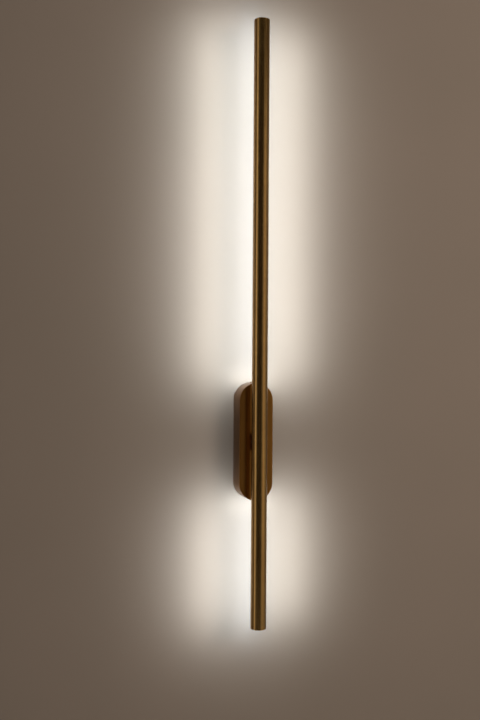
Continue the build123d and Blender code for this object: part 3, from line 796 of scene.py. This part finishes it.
def moulded(name, light, dark, rough, grain=0.25 * MM, depth=0.01 * MM):
    """Opaque plastic or rubber: a faint drift of colour and a fine moulded grain."""
    material, tree, coords = new_material(name)
    drift, pits = (
        add(tree, "TexNoise", {
            "Vector": coords, "Scale": 1 / size, "Detail": detail, "Roughness": SOFT})
        for size, detail in ((DRIFT, 2.0), (grain, 3.0))
    )
    return finished(material, {
        "Base Color": two_tone(tree, drift, dark, light),
        "Roughness": add(tree, "MapRange", {
            "Value": pits, **MIDDLE, "To Min": rough[0], "To Max": rough[1]}),
        "Normal": add(tree, "Bump", {"Height": pits, "Distance": depth}),
    })


def black_rubber():
    """Moulded rubber: nearly black, dull, with a dusty lift in the light."""
    return moulded("moulded_black_rubber", "#232323", "#171717", (0.55, 0.75), 0.3 * MM, 0.02 * MM)


def black_nylon():
    """Turned nylon: black with a waxy sheen."""
    return moulded("turned_black_nylon", "#1f1f20", "#151516", (0.35, 0.5))


def white_polycarbonate():
    """Moulded polycarbonate: white, even, with a matt spark-eroded grain."""
    return moulded("moulded_white_polycarbonate", "#e6e5e1", "#dcdad5", (0.45, 0.6),
                   0.4 * MM, 0.02 * MM)


def white_polyamide():
    """Moulded polyamide: a warmer, waxier white."""
    return moulded("moulded_white_polyamide", "#e2ddcd", "#d5cfbd", (0.35, 0.5))


def fibre():
    """Vulcanised fibre: dull red, with short hairs pressed flat."""
    return moulded("vulcanised_red_fibre", "#8e3226", "#6e231a", (0.6, 0.8), 0.5 * MM, 0.03 * MM)


def foam():
    """Acrylic foam tape: soft grey-white, full of tiny cells."""
    return moulded("acrylic_foam", "#d4d2cb", "#bcb9b1", (0.7, 0.9), 0.35 * MM, 0.08 * MM)


def ferrite():
    """Sintered ferrite: charcoal grey, with a ceramic grain."""
    return moulded("sintered_ferrite", "#3c3b3d", "#2a292b", (0.45, 0.65), 0.35 * MM, 0.03 * MM)


def sleeve(name, colour, dark):
    """Soft plastic insulation: smooth, a little greasy."""
    return moulded(name, colour, dark, (0.3, 0.42), 0.6 * MM, 0.01 * MM)


# %% [markdown]
# ## Insulation with two colours
#
# An earth lead is green with a yellow stripe. Two solids side by side could show that, but the
# insulation is one piece with a stripe in it. The stripe is a wave across the lead, and a threshold
# gives it a clean edge.

# %% Earth lead
EARTH_BAND = math.pi * 2.2 * MM          # 6.9 mm of green, then as much of yellow
WAVE_RATE = 20                           # radians the wave runs through in one unit


def earth_sleeve():
    """Green and yellow insulation in bands, smooth and a little glossy."""
    material, tree, coords = new_material("green_yellow_insulation")
    wave = add(tree, "TexWave", {
        "Vector": coords, "Scale": math.pi / (EARTH_BAND * WAVE_RATE), "Distortion": 0.6,
    }, output="Fac", bands_direction="X")
    edge = add(tree, "MapRange", {"Value": wave, "From Min": 0.45, "From Max": 0.55})
    return finished(material, {
        "Base Color": add(tree, "Mix", {"Factor": edge, MIX_A: "#2f7a35", MIX_B: "#d8c535"},
                          output=MIX_COLOUR, data_type="RGBA"),
        "Roughness": 0.36,
    })


# %% [markdown]
# ## Circuit boards and what is on them
#
# The driver's board is green lacquer over copper tracks, which show as paler lines. A pattern of
# bricks stands in for them, with the tracks as its joints, because drawn tracks would be thousands
# of faces inside a closed case. The LED boards are white lacquer on aluminium. Their chips are
# yellow phosphor under silicone, and glow.

# %% Boards
TRACK_UNIT = 14 * MM                     # the bricks between the tracks are half by a quarter of it
TRACK_HEIGHT = 0.05 * MM
PHOSPHOR_GRAIN = 0.25 * MM


def circuit_board():
    """Green solder lacquer with raised tracks under it, glossy and slightly uneven."""
    material, tree, coords = new_material("green_solder_lacquer")
    lacquer = add(tree, "TexBrick", {
        "Vector": coords, "Scale": 1 / TRACK_UNIT, "Mortar Size": 0.06, "Mortar Smooth": 0.3,
        "Color1": "#1f5a32", "Color2": "#1b512d", "Mortar": "#3a8a4d",
    }, output="Color")
    tracks = lacquer.node.outputs["Fac"]
    return finished(material, {
        "Base Color": lacquer,
        "Roughness": 0.3,
        "Normal": add(tree, "Bump", {"Height": tracks, "Distance": TRACK_HEIGHT}),
    })


def led_board():
    """White solder lacquer on aluminium: bright, even, half glossy."""
    return moulded("white_solder_lacquer", "#f0efea", "#e6e4dc", (0.3, 0.4), 0.8 * MM, 0.005 * MM)


def led_phosphor():
    """Phosphor under clear silicone: deep yellow, softly glossy, glowing."""
    material, tree, coords = new_material("yellow_phosphor")
    grains = add(tree, "TexNoise", {
        "Vector": coords, "Scale": 1 / PHOSPHOR_GRAIN, "Detail": 2.0, "Roughness": SOFT})
    return finished(material, {
        "Base Color": two_tone(tree, grains, "#d9a92f", "#f0cf62"),
        "Roughness": 0.25,
        "Emission Color": "#ffe3b0",
        "Emission Strength": 1.0,
    })


def capacitor_sleeve():
    """Shrink sleeve on an aluminium can: dark blue, glossy, puckered at the rim."""
    return moulded("dark_shrink_sleeve", "#2b3350", "#20263d", (0.2, 0.3), 1.2 * MM, 0.03 * MM)


# %% [markdown]
# ## The opal diffuser
#
# Opal acrylic is clear plastic with a fine white filler: light goes in, scatters and comes out
# evenly, so the single chips don't show. Light could be traced through it from every chip, but that
# is slow and grainy. So it is a white surface with some scattering below it, and a warm emission
# stands for the light that comes through, with a faint drift along the strip.

# %% Opal acrylic
GLOW = "#fff6e8"
GLOW_STRENGTH = 0.3
GLOW_DRIFT, GLOW_DRIFT_LENGTH = 9 * MM, 1.6
HAZE, HAZE_DEPTH = 0.5 * MM, 0.003 * MM
SCATTER_DEPTH = 1.5 * MM


def opal_acrylic():
    """Lit opal acrylic: creamy white, satin, evenly bright with a faint drift along its length."""
    material, tree, coords = new_material("lit_opal_acrylic")
    placed = add(tree, "Mapping", {
        "Vector": coords,
        "Scale": [1 / GLOW_DRIFT, 1 / GLOW_DRIFT, 1 / (GLOW_DRIFT * GLOW_DRIFT_LENGTH)],
    })
    drift = add(tree, "TexNoise", {
        "Vector": placed, "Scale": 1.0, "Detail": 1.0, "Roughness": SOFT})
    haze = add(tree, "TexNoise", {
        "Vector": coords, "Scale": 1 / HAZE, "Detail": 2.0, "Roughness": SOFT})
    return finished(material, {
        "Base Color": two_tone(tree, drift, "#efe9dc", "#f6f2e8"),
        "Roughness": add(tree, "MapRange", {
            "Value": haze, **MIDDLE, "To Min": 0.32, "To Max": 0.42}),
        "Subsurface Weight": 0.3,
        "Subsurface Radius": (1.0, 0.9, 0.75),
        "Subsurface Scale": SCATTER_DEPTH,
        "Emission Color": GLOW,
        "Emission Strength": add(tree, "MapRange", {
            "Value": drift, **MIDDLE, "To Min": 0.92 * GLOW_STRENGTH, "To Max": GLOW_STRENGTH}),
        "Normal": add(tree, "Bump", {"Height": haze, "Distance": HAZE_DEPTH}),
    })


# %% [markdown]
# ## Every piece gets its finish
#
# The measured model names a finish slot for each piece. Materials could be given piece by piece,
# but then the same brass would be set in several places. A table turns the slot into a material, so
# a new shell and the hidden parts behind it are dressed in the same way.

# %% Assign the finishes
FINISHES = {
    "tube_brass_finish": tube_brass(),
    "canopy_brass_finish": canopy_brass(),
    "brass_plated_screw": plated_screw(),
    "bare_brass": bare_brass(),
    "zinc_plated_steel": zinc_plate(),
    "spring_steel": spring_steel(),
    "tinned_copper": tinned_copper(),
    "opal_diffuser": opal_acrylic(),
    "white_polycarbonate": white_polycarbonate(),
    "white_polyamide": white_polyamide(),
    "black_rubber": black_rubber(),
    "black_nylon": black_nylon(),
    "fibre_washer": fibre(),
    "foam_tape": foam(),
    "circuit_board": circuit_board(),
    "ferrite": ferrite(),
    "capacitor_can": capacitor_sleeve(),
    "led_board": led_board(),
    "led_phosphor": led_phosphor(),
    "white_flex": sleeve("white_flex_jacket", "#dedcd5", "#d2cfc6"),
    "earth_sleeve": earth_sleeve(),
    "brown_sleeve": sleeve("brown_insulation", "#6a432a", "#5a3721"),
    "blue_sleeve": sleeve("blue_insulation", "#2f5aa8", "#264b90"),
}


def dress(piece, slot):
    """The slot's material in every material slot of the piece, or in a new one."""
    if not piece.material_slots:
        piece.data.materials.append(FINISHES[slot])
    for place in piece.material_slots:
        place.link = "OBJECT"
        place.material = FINISHES[slot]


slot_of = {p["node"]: p["material_slot"] for p in frame["record"]["subparts"]}
for node, piece in frame["nodes"].items():
    dress(piece, slot_of[node])
for piece in bpy.context.scene.objects:
    if "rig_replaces" in piece:
        dress(piece, piece["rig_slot"])
print(len(FINISHES), "finishes on", len(slot_of), "nodes and their shells")

# %% [markdown]
# ## The room
#
# The light hangs on a painted wall, in a plain pale studio. The wall is one-sided: seen from behind
# it is clear, so the fixing side can be looked at too, and it has a hole under the canopy that lets
# light reach the plate from behind. The floor lies well below. A brighter lamp would make it paler,
# but would light the brass as well. So its shader asks which ray is looking: the camera and the
# mirror images see it a little lifted, and the rays that carry light find only its plain colour.

# %% Wall
WALL_HALF = 3.0
WALL_TOP = 2.4
WALL_Y = 0.4 * MM                        # just behind the fixing face, so that no faces coincide
HOLE_INSET = 0.6 * MM
FLOOR_Z = -1.35
NO_ZERO = 1e-9                           # keeps a division by a direction's zero part finite
PEEL, PEEL_DEPTH = 3.5 * MM, 0.05 * MM
PAINT_DRIFT = 400 * MM                   # size of the slow change of tone over the wall


def wall_sheet():
    """Flat sheet round a hole of the canopy's outline.

    Each point of the hole runs straight out to the sheet's edge. The way is the smaller of the two
    distances, sideways and up or down, each over that part of the direction.
    """
    middle, outward = swollen_line(end_count=48, side_count=24)
    hole = middle + outward * (CANOPY_HALF - HOLE_INSET)
    away = hole / np.linalg.norm(hole, axis=1, keepdims=True)
    height = np.where(away[:, 1] > 0, WALL_TOP, -FLOOR_Z)
    limit = np.stack([np.full(len(away), WALL_HALF), height], -1)
    reach = (limit / np.maximum(np.abs(away), NO_ZERO)).min(axis=1, keepdims=True)
    rows = np.stack([hole, away * reach])
    points = np.stack(np.broadcast_arrays(rows[..., 0], WALL_Y, rows[..., 1]), -1)
    sheet = skins("wall", [(points, False, True)])
    if sheet.data.polygons[0].normal.y > 0:
        sheet.data.flip_normals()
    return sheet


def painted_wall():
    """Matt wall paint with the faint orange peel of a roller, clear when seen from behind."""
    material, tree, coords = new_material("roller_painted_wall")
    peel, drift = (
        add(tree, "TexNoise", {
            "Vector": coords, "Scale": 1 / size, "Detail": detail, "Roughness": SOFT})
        for size, detail in ((PEEL, 3.0), (PAINT_DRIFT, 2.0))
    )
    paint = add(tree, "BsdfPrincipled", {
        "Base Color": two_tone(tree, drift, "#7b6d61", "#7f7064"),
        "Roughness": 0.85,
        "Normal": add(tree, "Bump", {"Height": peel, "Distance": PEEL_DEPTH}),
    })
    add(tree, "OutputMaterial", {"Surface": add(tree, "MixShader", {
        0: add(tree, "NewGeometry", {}, output="Backfacing"),
        1: paint,
        2: add(tree, "BsdfTransparent", {}),
    })})
    return material


wall = wall_sheet()
wall.data.materials.append(painted_wall())

# %% Floor
FLOOR_HALF = 9.0
FLOOR_COLOUR = "#d6d2ca"
FLOOR_LIFT = 0.42                        # keeps the floor pale where it is seen, and lights nothing
SCREED_CLOUD = 300 * MM


def pale_floor():
    """Smooth pale screed."""
    material, tree, coords = new_material("pale_screed")
    drift = add(tree, "TexNoise", {
        "Vector": coords, "Scale": 1 / SCREED_CLOUD, "Detail": 3.0, "Roughness": SOFT})
    return finished(material, {
        "Base Color": two_tone(tree, drift, "#d0ccc4", FLOOR_COLOUR),
        "Roughness": 0.7,
        "Emission Color": FLOOR_COLOUR,
        "Emission Strength": add(tree, "MapRange", {
            "Value": seen_directly(tree), "To Max": FLOOR_LIFT}),
    })


edges = (-FLOOR_HALF, FLOOR_HALF)
floor_grid = np.stack(np.broadcast_arrays(*np.meshgrid(edges, edges), FLOOR_Z), -1)
floor = skins("floor", [(floor_grid, False, False)])
if floor.data.polygons[0].normal.z < 0:
    floor.data.flip_normals()
floor.data.materials.append(pale_floor())
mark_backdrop(wall, floor)

# %% [markdown]
# ## Light
#
# Metal shows what is round it, so the lamps are placed for their reflections. A round tube shows a
# lamp at half the lamp's angle from the camera: a tall strip on the left gives the thin bright
# line, and a wide soft box on the right the broad brown band. Matt surfaces need another kind of
# light, so each lamp here does one job only, either in gloss or on matt paint. The small fill
# stands on the right, which gives the wall its tone and puts the canopy's soft shadow on its left.

# %% Lamps
AIM = Vector((0, TUBE_Y, 0.19))          # about the middle of the tube


def soft_box(name, azimuth, elevation, distance, size, power, colour="#fff9f1", mirrored=True):
    """Area lamp that faces the light from a direction.

    At azimuth a and elevation e it stands at distance times (sin a cos e, -cos a cos e, sin e) from
    the point that it faces. A mirrored one shows only in gloss, the others only on matt surfaces.
    """
    a, e = math.radians(azimuth), math.radians(elevation)
    way = Vector((math.sin(a) * math.cos(e), -math.cos(a) * math.cos(e), math.sin(e)))
    data = bpy.data.lights.new(name, "AREA")
    data.shape = "RECTANGLE"
    data.size, data.size_y = size
    data.energy = power
    data.color = linear(colour)[:3]
    lamp = bpy.data.objects.new(name, data)
    bpy.context.scene.collection.objects.link(lamp)
    lamp.location = AIM + distance * way
    lamp.rotation_mode = "QUATERNION"
    lamp.rotation_quaternion = (AIM - lamp.location).to_track_quat("-Z", "Y")
    lamp.visible_camera = False
    lamp.visible_glossy = mirrored
    lamp.visible_diffuse = not mirrored
    print(f"{name}: {power} W, seen in {'gloss' if mirrored else 'matt'} surfaces only")


soft_box("strip_left", azimuth=-77, elevation=0, distance=2.2, size=(0.62, 2.6), power=6.0)
soft_box("soft_right", azimuth=46, elevation=5, distance=2.2, size=(1.1, 2.6), power=4.6,
         colour="#ffe0bb")
soft_box("fill", azimuth=40, elevation=14, distance=2.6, size=(0.8, 0.8), power=42.0,
         mirrored=False)
soft_box("fill_behind", azimuth=160, elevation=35, distance=2.6, size=(2.2, 2.2), power=12.0,
         mirrored=False)

# %% [markdown]
# ## Cards for the dark bands
#
# A dark band on metal is the mirror image of something dark. Photographers hang black flock for it,
# and so does this scene: one card in front makes the tube's dark middle. A grey one hangs before
# the upper part of the soft box, so that the brown band fades towards the tube's top. They show in
# reflections only, and cast no shadow.

# %% Cards seen only in reflections
CARD_COLUMNS = 24
CARD_PILE = 2 * MM


def card(name, radius, turn_from, turn_to, bottom, dark, light):
    """Upright card bent round the light: radius times (sin a, -cos a), for a between its edges."""
    turns = np.radians(np.linspace(turn_from, turn_to, CARD_COLUMNS))
    angle, height = np.meshgrid(turns, (bottom, WALL_TOP), indexing="ij")
    points = np.stack([radius * np.sin(angle), TUBE_Y - radius * np.cos(angle), height], -1)
    sheet = skins(name, [(points, False, False)])
    material, tree, coords = new_material(name + "_flock")
    pile = add(tree, "TexNoise", {
        "Vector": coords, "Scale": 1 / CARD_PILE, "Detail": 2.0, "Roughness": SOFT})
    sheet.data.materials.append(finished(material, {
        "Base Color": two_tone(tree, pile, dark, light),
        "Roughness": 0.9,
    }))
    sheet.visible_camera = False
    sheet.visible_diffuse = False
    sheet.visible_shadow = False
    sheet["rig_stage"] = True


card("dark_card", radius=2.7, turn_from=-60, turn_to=15, bottom=FLOOR_Z,
     dark="#716c66", light="#7b766f")
card("grey_card", radius=2.05, turn_from=17, turn_to=105, bottom=1.22,
     dark="#bab6ae", light="#c2beb6")

# %% [markdown]
# ## The glow on the wall
#
# The real light shines backwards through its diffusers. Light traced through opal plastic from
# dozens of small chips would be slow and grainy, so long lamps stand in for it. A narrow cool one
# over each diffuser whitens the middle of the glow, a pair beside it makes the wide soft shoulders,
# and a short one fills the corner where the glow meets the canopy. They face the wall, turn with
# the tube, and show neither to the camera nor in the metal.

# %% Glow on the wall
CORE_COLOUR, SPREAD_COLOUR = "#bce0ff", "#e2f2fa"


def glow_lamp(name, end, stand_off, width, z_from, z_to, power, colour, aside=0):
    """Long lamp facing the wall that turns with the tube.

    The end is 1 above the swivel and -1 below. Heights are distances from the swivel, and power is
    in watts for each metre of the lamp.
    """
    data = bpy.data.lights.new(f"glow_{'upper' if end > 0 else 'lower'}_{name}", "AREA")
    data.shape = "RECTANGLE"
    data.size, data.size_y = width, z_to - z_from
    data.energy = power * (z_to - z_from)
    data.color = linear(colour)[:3]
    lamp = bpy.data.objects.new(data.name, data)
    bpy.context.scene.collection.objects.link(lamp)
    lamp.location = (aside, -stand_off, end * (z_from + z_to) / 2)
    lamp.rotation_euler = (math.radians(90), 0, 0)
    lamp.visible_camera = False
    lamp.visible_glossy = False
    print(f"{data.name}: {data.energy:.2f} W over {z_to - z_from:.3f} m")
    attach(lamp, "light_tube")


for end, tip in ((1, cap_high.z), (-1, -bottom_low.z)):
    glow_lamp("core", end, stand_off=38.6 * MM, width=14 * MM, z_from=CANOPY_TOP + 2 * MM,
              z_to=tip + 24 * MM, power=0.68, colour=CORE_COLOUR)
    glow_lamp("root", end, stand_off=26 * MM, width=76 * MM, z_from=CANOPY_TOP + 1 * MM,
              z_to=CANOPY_TOP + 16 * MM, power=2.3, colour=SPREAD_COLOUR)
    for side, aside in (("right", 65 * MM), ("left", -65 * MM)):
        glow_lamp(side, end, stand_off=70 * MM, width=40 * MM, z_from=CANOPY_TOP - 8 * MM,
                  z_to=tip + 10 * MM, power=1.86, colour=SPREAD_COLOUR, aside=aside)

# %% [markdown]
# ## The studio's own light
#
# The world stands for the pale walls of the studio. One strength for all rays would either leave
# the background grey or wash the glow out. So the camera and shiny surfaces see it pale, and matt
# surfaces get less of it, which leaves room for the glow and for the fill's shadow.

# %% Studio walls
STUDIO_PALE = 0.62                       # what the camera and shiny surfaces see of the studio
STUDIO_LIGHT = 0.26                      # what the studio adds to the light on matt surfaces

world = bpy.data.worlds.new("studio")
bpy.context.scene.world = world
world.use_nodes = True
world.node_tree.nodes.clear()
strength = add(world.node_tree, "MapRange", {
    "Value": seen_directly(world.node_tree), "To Min": STUDIO_LIGHT, "To Max": STUDIO_PALE,
})
background = add(world.node_tree, "Background", {"Color": "#f0ece5", "Strength": strength})
add(world.node_tree, "OutputWorld", {"Surface": background})
bpy.context.scene.view_settings.view_transform = "Standard"
print("studio:", STUDIO_PALE, "where it is seen,", STUDIO_LIGHT, "on matt surfaces")

# %% Sizes of the visual box
low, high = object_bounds()
print("visual box, mm:", [round(v / MM, 1) for v in (*low, *high)])
